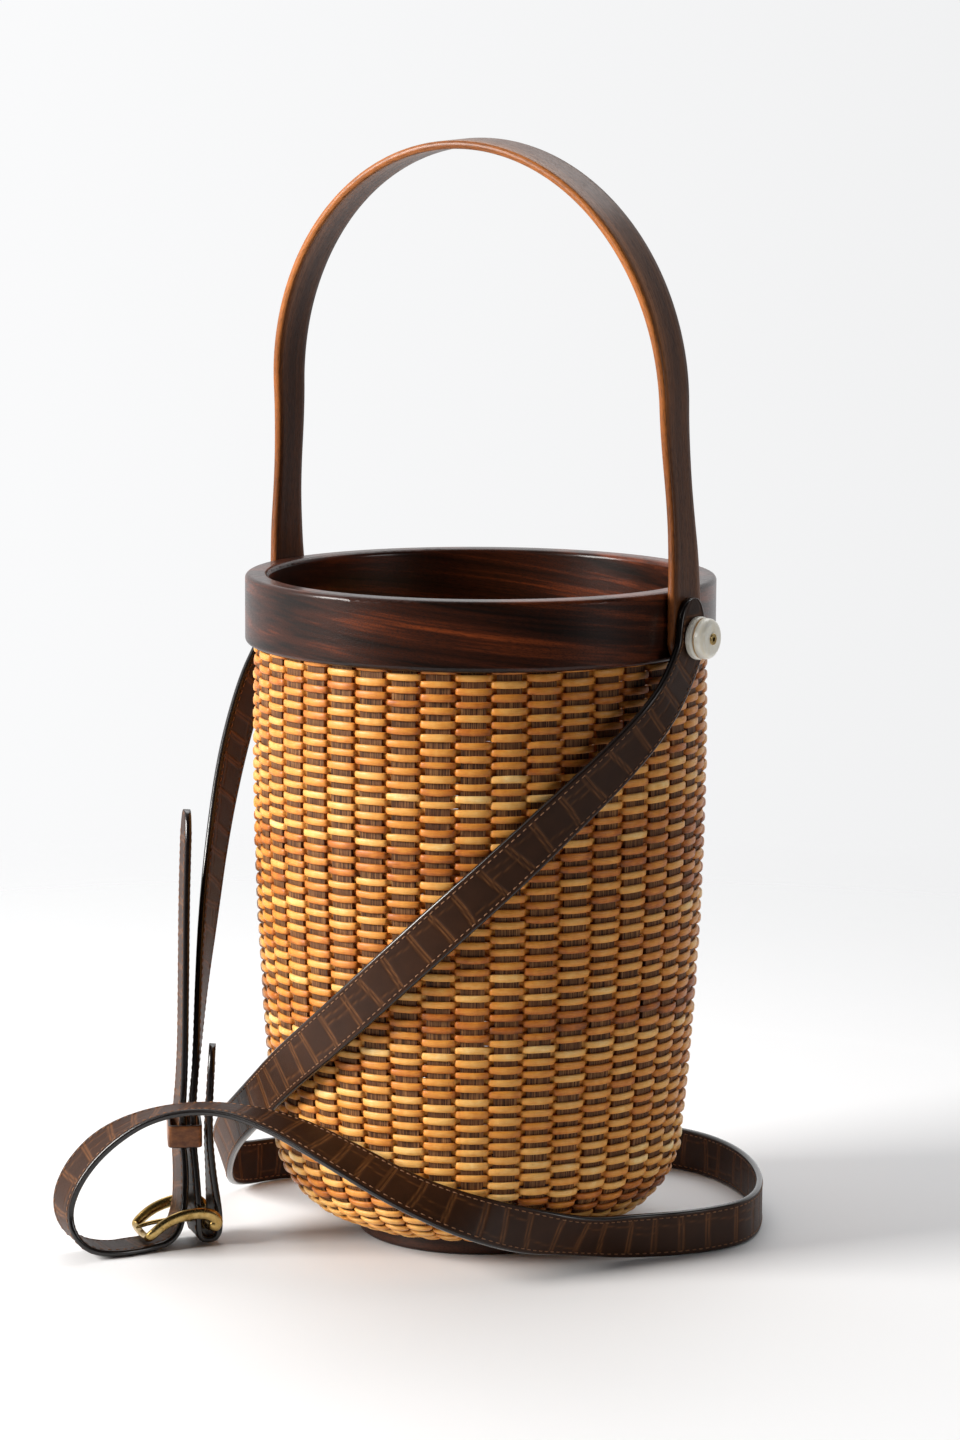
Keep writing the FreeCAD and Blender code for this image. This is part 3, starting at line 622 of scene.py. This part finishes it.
def flattened_oval(half_width, half_height, count):
    """Ovals with flatter sides and rounder corners, one for each of two arrays of half sizes."""
    turn = (np.arange(count) + 0.5) * 2 * math.pi / count
    x = np.sign(np.cos(turn)) * np.abs(np.cos(turn)) ** 0.62
    y = np.sign(np.sin(turn)) * np.abs(np.sin(turn)) ** 0.62
    return np.stack([half_width[:, None] * x, half_height[:, None] * y], -1)


def joined(parts):
    """Several swept skins as one set of points and faces."""
    points, faces, first = [], [], 0
    for part_points, part_faces in parts:
        points.append(part_points)
        faces += [[first + corner for corner in face] for face in part_faces]
        first += len(part_points)
    return np.concatenate(points), faces


# ---------------------------------------------------------------- cane


def wall_line():
    """The wall's middle in section, from the foot up to the rim: distance along, radius and height."""
    turn = np.radians(np.linspace(-86.5, -9, 60))
    up = np.linspace(0.03, 1, 120)
    top_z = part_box("rim")[0][2] + 0.001
    side_r = SIDE_START_R + (SIDE_TOP_R - SIDE_START_R) * up + 4 * up * (1 - up) * SIDE_BULGE
    radius = np.concatenate([SIDE_ARC_R + SIDE_ARC_RADIUS * np.cos(turn), side_r])
    side_z = SIDE_START_Z + (top_z - SIDE_START_Z) * up
    height = np.concatenate([SIDE_ARC_Z + SIDE_ARC_RADIUS * np.sin(turn), side_z])
    along = np.concatenate([[0], np.cumsum(np.hypot(np.diff(radius), np.diff(height)))])
    return along, radius, height


def drift(rng, spread, at, count, spacing):
    """A slow random change along the cane, drawn every few crossings and carried on evenly between them."""
    places = np.arange(0, count, spacing)
    return np.interp(at, places, rng.normal(0, spread, len(places)))


def wall_frame(at, distance):
    """Where the cane lies on the wall's middle, with the directions up the wall and out of it."""
    along, radius, height = wall_line()
    angle = 2 * math.pi * (at + 0.5) / STAVE_COUNT
    cosine, sine = np.cos(angle), np.sin(angle)
    r = np.interp(distance, along, radius)
    z = np.interp(distance, along, height)
    step = 0.001
    slope_r = np.interp(distance + step, along, radius) - np.interp(distance - step, along, radius)
    slope_z = np.interp(distance + step, along, height) - np.interp(distance - step, along, height)
    slope = unit(np.stack([slope_r, slope_z], -1))
    across = np.stack([slope[:, 0] * cosine, slope[:, 0] * sine, slope[:, 1]], -1)
    outward = np.stack([slope[:, 1] * cosine, slope[:, 1] * sine, -slope[:, 0]], -1)
    return np.stack([r * cosine, r * sine, z], -1), across, outward


def make_cane():
    """One weaver wound up the basket, over one stave and under the next; as 41 is odd, the rows alternate."""
    rng = np.random.default_rng(7)
    wall_length = wall_line()[0][-1]
    crossings = int(wall_length / ROW_PITCH * STAVE_COUNT)
    stave = np.repeat(np.arange(1, crossings), len(CANE_STEPS))
    at = stave + np.tile(CANE_STEPS, crossings - 1)
    wander = CANE_WANDER * drift(rng, 1, at, crossings + 21, 7)
    over = np.cos(math.pi * at)
    lift = rng.normal(0, CANE_LIFT_SPREAD, crossings + 1)[stave] * np.abs(over)
    distance = np.clip(at / STAVE_COUNT * ROW_PITCH + wander + lift, 0, wall_length)
    middle, across, outward = wall_frame(at, distance)
    bow = np.sign(over) * np.abs(over) ** CANE_FLATNESS
    throw = CANE_THROW + rng.normal(0, CANE_THROW_SPREAD, crossings + 1)[stave]
    centres = middle + outward * (bow * throw)[:, None]
    size = 1 + rng.normal(0, CANE_SIZE_SPREAD, crossings + 1)[stave]
    half_height = CANE_HEIGHT / 2 * size * (0.90 + 0.10 * np.abs(bow))
    half_depth = np.full(len(at), CANE_DEPTH / 2)
    outlines = flattened_oval(half_height, half_depth, 10)
    points, faces = sweep(centres, across, outward, outlines)
    # Painted shade: each float's lower side is darkened in the tone attribute.
    underside_shade = np.clip(-outlines[:, :, 0] / half_height[:, None], 0, 1)
    tone = cane_tone(rng, crossings, stave, at)[:, None] - CANE_LOWER_SHADE * underside_shade ** 2
    cane = new_piece("cane_weave", points, faces, cane_skin(), [("tone", tone)])
    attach(cane, "basket")
    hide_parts("weave")


def cane_tone(rng, crossings, stave, at):
    """How pale the cane is: each length has a tone, each float differs a little, and painted shade darkens
    its ends where they dip under the staves.
    """
    strand = np.zeros(crossings + 1)
    start = 0
    while start <= crossings:
        length = int(rng.uniform(0.8, 3.4) * STAVE_COUNT)
        strand[start:start + length] = rng.choice(CANE_TONES) + rng.normal(0, 0.04)
        start += length
    slow = drift(rng, 0.09, np.arange(crossings + 1), crossings + 31, 15)
    each = rng.normal(0, 0.055, crossings + 1)
    # Painted shade: each float is darkened towards its ends, where the cane dips under the staves.
    ends = CANE_END_SHADE * (1 - np.abs(np.cos(math.pi * at)))
    return np.clip((strand + slow + each)[stave] - ends, 0, 1)


# ---------------------------------------------------------------- handle


def handle_line():
    """The bail's centre line in XZ, from the right ear to the left, with the outward normal."""
    ear_z = np.linspace(PIVOT_Z - EAR_R, ARM_STRAIGHT_Z, 40)
    arm_z = np.concatenate([ear_z, np.linspace(ARM_STRAIGHT_Z, ARCH_SPRING_Z, 40)[1:]])
    t = np.clip((arm_z - ARM_STRAIGHT_Z) / (ARCH_SPRING_Z - ARM_STRAIGHT_Z), 0, 1)
    arm_x = HANDLE_LINE_X + (ARCH_HALF_SPAN - HANDLE_LINE_X) * t * t * (3 - 2 * t)
    turn = np.radians(np.linspace(0, 90, 90))[1:]
    x = np.concatenate([arm_x, ARCH_HALF_SPAN * np.cos(turn)])
    z = np.concatenate([arm_z, ARCH_SPRING_Z + ARCH_RISE * np.sin(turn)])
    x = np.concatenate([x, -x[-2::-1]])
    z = np.concatenate([z, z[-2::-1]])
    line = np.stack([x, np.zeros_like(x), z], -1)
    tangent = unit(np.gradient(line, axis=0))
    normal = np.stack([tangent[:, 2], np.zeros_like(x), -tangent[:, 0]], -1)
    return line, normal


def rounded_strip(half_width, half_thick, rounding, flat_points):
    """Outlines of a flat strip with rounded edges, anticlockwise from the back: (sections, points, 2)."""
    turn = np.radians(np.linspace(-90, 90, 7))
    reach = np.minimum(rounding, 0.45 * half_width)
    right_x = half_width[:, None] - reach[:, None] * (1 - np.cos(turn))
    right_y = half_thick * np.sin(turn) * np.ones_like(right_x)
    flat = np.linspace(1, -1, flat_points + 2)[1:-1]
    top_x = (half_width - reach)[:, None] * flat
    top_y = np.full_like(top_x, half_thick)
    x = np.concatenate([right_x, top_x, -right_x[:, ::-1], -top_x], 1)
    y = np.concatenate([right_y, top_y, right_y[:, ::-1], -top_y], 1)
    return np.stack([x, y], -1)


def make_handle():
    """The bail: a flat strip along its line, widened at the ears and leaning a little on its pivots."""
    line, normal = handle_line()
    below = np.clip(PIVOT_Z - line[:, 2], 0, EAR_R * 0.995)
    half_width = np.interp(line[:, 2], HANDLE_WIDTH_Z, HANDLE_HALF_WIDTHS)
    kernel = np.ones(15) / 15
    half_width = np.convolve(np.pad(half_width, 7, "edge"), kernel, "valid")
    half_width = np.where(below > 0, np.sqrt(EAR_R ** 2 - below ** 2), half_width)
    across = np.tile([0.0, 1.0, 0.0], (len(line), 1))
    outlines = rounded_strip(half_width, HANDLE_THICK / 2, HANDLE_ROUND, 7)
    points, faces = sweep(line, across, normal, outlines)
    offset = points - [0, 0, PIVOT_Z]
    y = offset[:, 1] * math.cos(HANDLE_LEAN) - offset[:, 2] * math.sin(HANDLE_LEAN)
    z = offset[:, 1] * math.sin(HANDLE_LEAN) + offset[:, 2] * math.cos(HANDLE_LEAN)
    points = np.stack([offset[:, 0], y, z + PIVOT_Z], -1)
    handle = new_piece("bent_handle", points, faces, handle_walnut())
    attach(handle, "handle")
    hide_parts("handle")


# ---------------------------------------------------------------- straps


def spline_points(points, resolution, closed=False):
    """Points along the quadratic NURBS spline, clamped or closed, that has these control points."""
    curve = bpy.data.curves.new("route", "CURVE")
    curve.dimensions = "3D"
    curve.resolution_u = resolution
    spline = curve.splines.new("NURBS")
    spline.points.add(len(points) - 1)
    for knot, point in zip(spline.points, points):
        knot.co = (*point, 1)
    spline.order_u = 3
    spline.use_endpoint_u = not closed
    spline.use_cyclic_u = closed
    route = bpy.data.objects.new("route", curve)
    mesh = bpy.data.meshes.new_from_object(route)
    found = np.array([vertex.co for vertex in mesh.vertices])
    bpy.data.objects.remove(route)
    bpy.data.curves.remove(curve)
    bpy.data.meshes.remove(mesh)
    return found


def strap_frames(route, spacing):
    """Evenly spaced centres along a strap with its width, outward and running directions there."""
    line = spline_points([point for point, _ in route], 24)
    facing = spline_points([direction for _, direction in route], 24)
    travelled = np.concatenate([[0], np.cumsum(np.linalg.norm(np.diff(line, axis=0), axis=1))])
    distance = np.linspace(0, travelled[-1], int(travelled[-1] / spacing) + 1)
    centres = np.stack([np.interp(distance, travelled, line[:, i]) for i in range(3)], -1)
    facing = np.stack([np.interp(distance, travelled, facing[:, i]) for i in range(3)], -1)
    along = unit(np.gradient(centres, axis=0))
    across = unit(np.cross(along, facing))
    outward = unit(np.cross(across, along))
    return line, distance, centres, along, across, outward


def tip_share(distance):
    """Share of the full width along a strap: both ends are drawn in to a rounded point."""
    from_end = np.minimum(distance, distance[-1] - distance)
    t = np.minimum(1, from_end / STRAP_TIP_LENGTH)
    return STRAP_TIP_SHARE + (1 - STRAP_TIP_SHARE) * np.sqrt(1 - (1 - t) ** 2)


def scale_relief(distance, across, seed):
    """Relief at each distance along and place across: 0 on a scale and down to -1 in a crease."""
    rng = random.Random(seed)
    relief = np.zeros(across.shape)
    start = -0.004
    while start < distance[-1]:
        size = rng.uniform(*SCALE_LENGTHS)
        slant = rng.uniform(-0.14, 0.14)
        curve = rng.uniform(-12, 12)
        past = distance[:, None] - (start + slant * across + curve * across ** 2)
        for gap, depth in ((0.0, 1.0), (rng.uniform(0.0013, 0.0019), 0.8)):
            relief = np.minimum(relief, -depth * np.exp(-((past - gap) / CREASE_WIDTH) ** 2))
        inside = np.clip(past / 0.001, 0, 1) * np.clip((size - past) / 0.001, 0, 1)
        splits = [rng.choice((-1, 1)) * rng.uniform(0.0040, 0.0052)]
        if rng.random() < 0.3:
            splits.append(rng.uniform(-0.001, 0.002))
        for split in splits:
            wave = split + 0.0005 * np.sin(past * 380 + seed)
            relief = np.minimum(relief, -0.55 * inside * np.exp(-((across - wave) / SPLIT_WIDTH) ** 2))
        start += size
    return relief


def strap_skin(route, seed):
    """A strap's line and skin: two embossed faces and rounded painted edges."""
    line, distance, centres, _, across, outward = strap_frames(route, 0.0007)
    half_width = STRAP_WIDTH / 2 * tip_share(distance)
    outlines = rounded_strip(half_width, STRAP_THICK / 2, STRAP_ROUND, 22)
    place_across = outlines[:, :, 0]
    face = np.abs(outlines[:, :, 1]) > STRAP_THICK / 2 * 0.97
    upper = outlines[:, :, 1] > 0
    upper_relief = scale_relief(distance, place_across, seed)
    lower_relief = scale_relief(distance, place_across, seed + 50)
    relief = np.where(upper, upper_relief, lower_relief)
    inset = half_width[:, None] - np.abs(place_across)
    border = np.clip((inset - STITCH_INSET) / 0.0006, 0, 1)
    groove = np.exp(-((inset - STITCH_INSET) / 0.0004) ** 2)
    rise = (relief * border - 0.6 * groove) * EMBOSS_DEPTH
    outlines[:, :, 1] += np.where(face, np.where(upper, 1, -1) * rise, 0)
    points, faces = sweep(centres, across, outward, outlines)
    edge = np.clip((0.0009 - inset) / 0.0004, 0, 1)
    worn = np.where(face, -relief * border, 0)
    return line, points, faces, worn, edge


def strap_stitches(route):
    """Short threads in two rows on both faces, a little sunk in the stitch grooves."""
    _, distance, centres, along, across, outward = strap_frames(route, STITCH_PITCH)
    half_width = STRAP_WIDTH / 2 * tip_share(distance) - STITCH_INSET
    reach = np.array([-0.00105, -0.0006, 0.0006, 0.00105])
    rise = np.array([-0.0002, 0.00002, 0.00002, -0.0002])
    thick = np.array([0.0001, 0.00026, 0.00026, 0.0001])
    parts = []
    for i in range(3, len(distance) - 3):
        for side in (-1, 1):
            for face in (-1, 1):
                middle = centres[i] + across[i] * side * half_width[i] + outward[i] * face * STRAP_THICK / 2
                line = middle + reach[:, None] * along[i] + (face * rise)[:, None] * outward[i]
                frame_across = np.tile(across[i], (4, 1))
                frame_outward = np.tile(outward[i], (4, 1))
                parts.append(sweep(line, frame_across, frame_outward, oval(thick, thick * 0.8, 5)))
    return joined(parts)


def make_strap(name, node, route, seed, materials):
    """The strap and its stitching; returns both pieces and the line that they follow."""
    leather, thread = materials
    line, points, faces, worn, edge = strap_skin(route, seed)
    strap = new_piece(name, points, faces, leather, [("relief", worn), ("edge", edge)])
    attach(strap, "basket")
    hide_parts(node)
    stitches = new_piece(name + "_stitching", *strap_stitches(route), thread)
    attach(stitches, "basket")
    return strap, stitches, line


# ---------------------------------------------------------------- buckle and keeper


def in_buckle(points):
    """Points from the buckle's own axes to the frame's."""
    turn = np.array(Matrix.Rotation(BUCKLE_YAW, 3, "Z"))
    return points @ turn.T + np.array(BUCKLE_BAR)


def rod_frames(line, closed):
    """Directions square to a line, turned as little as possible from one point to the next."""
    if closed:
        along = unit(np.roll(line, -1, 0) - np.roll(line, 1, 0))
    else:
        along = unit(np.gradient(line, axis=0))
    outward = np.zeros_like(along)
    latest = np.array([0.0, 0.0, 1.0])
    if abs(along[0] @ latest) > 0.9:
        latest = np.array([1.0, 0.0, 0.0])
    for i, direction in enumerate(along):
        latest = latest - direction * (direction @ latest)
        latest = latest / np.linalg.norm(latest)
        outward[i] = latest
    return np.cross(along, outward), outward


def rail_points():
    """Control points round the frame: one rail and the corner of the cross bar, then the same mirrored."""
    half = [(x, RAIL_HALF_SPAN, z) for x, z in RAIL_LINE]
    half.append((CROSS_BAR[0], RAIL_HALF_SPAN - 0.0022, CROSS_BAR[1]))
    return half + [(x, -y, z) for x, y, z in reversed(half)]


def make_buckle_frame(brass):
    """A cast frame: heel bar, two arched side rails and a cross bar, as one rod bent round."""
    line = spline_points(rail_points(), 16, closed=True)
    towards_bar = np.clip(1 - line[:, 0] / CROSS_BAR[0], 0, 1)
    on_rail = np.clip(np.abs(line[:, 1]) / RAIL_HALF_SPAN * 4 - 3, 0, 1)
    half_height = ROD_R + (RAIL_HALF_HEIGHT - ROD_R + 0.0004 * towards_bar) * on_rail
    across, outward = rod_frames(line, True)
    outlines = oval(np.full(len(line), ROD_R * 1.05), half_height, 20)
    points, faces = sweep(line, across, outward, outlines, True)
    piece = new_piece("brass_buckle_frame", in_buckle(points), faces, brass)
    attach(piece, "buckle_frame")
    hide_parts("buckle_frame")
    return piece


def make_buckle_prong(brass):
    """A prong rolled round the heel bar, its tip resting on the cross bar."""
    steps = 40
    turn = np.radians(np.linspace(200, -110, steps))
    loop = np.stack([PRONG_LOOP_R * np.cos(turn), np.zeros(steps), PRONG_LOOP_R * np.sin(turn)], -1)
    body = spline_points([(x, 0, z) for x, z in PRONG_LINE], 12)
    loop_across = np.tile([0.0, 1.0, 0.0], (len(loop), 1))
    parts = [sweep(loop, loop_across, unit(loop), oval(np.full(steps, 0.0015), np.full(steps, 0.00052), 10))]
    across, outward = rod_frames(body, False)
    share = np.linspace(0, 1, len(body))
    taper = np.interp(share, [0, 0.15, 0.85, 1], [0.0011, PRONG_R, PRONG_R * 0.95, 0.0005])
    parts.append(sweep(body, across, outward, oval(taper, taper * 0.95, 12)))
    points, faces = joined(parts)
    piece = new_piece("brass_buckle_prong", in_buckle(points), faces, brass)
    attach(piece, "buckle_prong")
    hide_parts("buckle_prong")
    return piece


def make_keeper():
    """A leather loop with rounded corners and painted rims."""
    half_x = KEEPER_INSIDE[0] / 2 + KEEPER_THICK / 2
    half_y = KEEPER_INSIDE[1] / 2 + KEEPER_THICK / 2
    line = []
    for sign_x, sign_y, first in ((1, 1, 0), (-1, 1, 90), (-1, -1, 180), (1, -1, 270)):
        for degrees in range(first, first + 91, 10):
            x = sign_x * (half_x - KEEPER_CORNER) + KEEPER_CORNER * math.cos(math.radians(degrees))
            y = sign_y * (half_y - KEEPER_CORNER) + KEEPER_CORNER * math.sin(math.radians(degrees))
            line.append((x, y, 0))
    line = np.array(line)
    along = unit(np.roll(line, -1, 0) - np.roll(line, 1, 0))
    across = np.tile([0.0, 0.0, 1.0], (len(line), 1))
    outward = np.cross(along, across)
    outlines = rounded_strip(np.full(len(line), KEEPER_HEIGHT / 2), KEEPER_THICK / 2, KEEPER_ROUND, 5)
    points, faces = sweep(line, across, outward, outlines, True)
    turn = np.array(Matrix.Rotation(KEEPER_YAW, 3, "Z"))
    placed = points @ turn.T + np.array(KEEPER_CENTRE)
    edge = np.clip((np.abs(outlines[:, :, 0]) - KEEPER_HEIGHT / 2 + 0.0005) / 0.0003, 0, 1)
    keeper = new_piece("leather_keeper", placed, faces, keeper_leather(), [("edge", edge)])
    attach(keeper, "strap_keeper")
    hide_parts("strap_keeper")
    return keeper


# ---------------------------------------------------------------- CAD nodes that keep their shape


def finish_node(node, material):
    """Give a CAD node its material and smooth shading."""
    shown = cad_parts[node]
    shown.data.materials.clear()
    shown.data.materials.append(material)
    shown.data.shade_smooth()


def finish_cad_nodes(brass):
    """Materials for the nodes that are shown as they were designed."""
    finish_node("rim", rim_walnut())
    finish_node("foot_base", base_walnut())
    finish_node("staves", stave_wood())
    bone = polished_bone()
    for side in ("right", "left"):
        finish_node(side + "_ivory_washer", bone)
        finish_node(side + "_ivory_knob", bone)
        finish_node(side + "_inner_washer", brass)
        finish_node(side + "_pivot_pin", brass)


def make_strapwork(brass):
    """Both straps with their stitching, and the hardware that hangs on the short one."""
    materials = crocodile_leather(), stitch_thread()
    strap, stitches, line = make_strap("long_strap", "strap_long", STRAP_LONG_ROUTE, 3, materials)
    strap, stitches, line = make_strap("short_strap", "strap_short", STRAP_SHORT_ROUTE, 11, materials)
    hardware = [stitches, make_buckle_frame(brass), make_buckle_prong(brass), make_keeper()]


make_camera()
brass = aged_brass()
make_strapwork(brass)
make_surroundings()
make_floor()
make_lights()
show_plain_colours()
make_cane()
make_handle()
finish_cad_nodes(brass)
